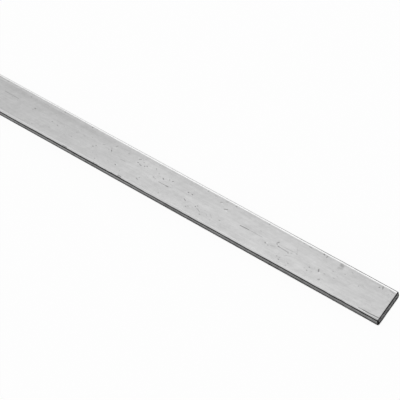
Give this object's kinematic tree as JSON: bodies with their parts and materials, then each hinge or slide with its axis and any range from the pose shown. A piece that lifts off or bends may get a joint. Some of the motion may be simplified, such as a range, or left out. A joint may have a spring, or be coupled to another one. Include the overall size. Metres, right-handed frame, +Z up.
{
  "type": "metal flat bar",
  "caption": "Straight length of rolled metal flat bar with rounded long corners and square sawn, lightly deburred ends.",
  "frame": {"origin": "under the middle of the bar, on the level it lies on: half way along its length and across its width, at the underside of its bottom face", "axes": "+X along the bar, +Y across its width, +Z up through its thickness, out of the top face"},
  "size_m": [1, 0.02, 0.006],
  "materials": {
    "bar_metal": "satin light grey mill surface with fine lengthwise streaks, small pits and scratches; darker narrow edges and sawn ends"
  },
  "bodies": {
    "root": {"flat_bar": "bar_metal"}
  },
  "joints": []
}
